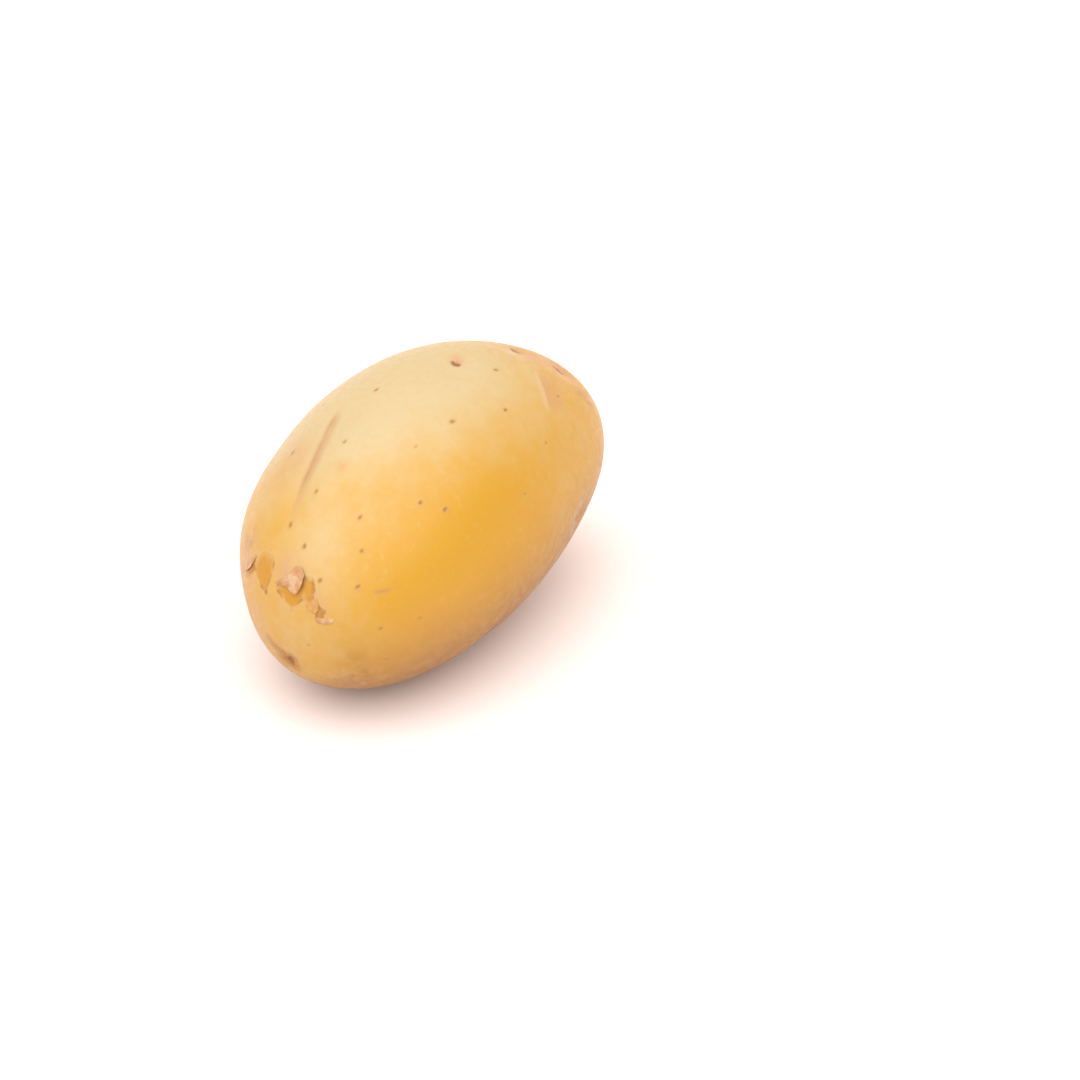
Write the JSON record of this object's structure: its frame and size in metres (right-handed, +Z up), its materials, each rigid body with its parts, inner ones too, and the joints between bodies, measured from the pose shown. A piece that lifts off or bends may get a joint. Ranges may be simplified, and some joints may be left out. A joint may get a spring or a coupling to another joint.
{
  "type": "potato",
  "caption": "Whole long-oval potato with smooth yellow skin, shallow eyes and a stem scar, lying on a small flat spot.",
  "frame": {"origin": "on the surface that the potato lies on, under the middle of its bounding box", "axes": "+X along the potato from the stem end to the rose end, +Y across it, +Z up"},
  "size_m": [0.0984, 0.0616, 0.0605],
  "materials": {
    "skin": "smooth thin yellow potato skin with a soft satin gloss"
  },
  "bodies": {
    "root": {"potato": "skin"}
  },
  "joints": []
}
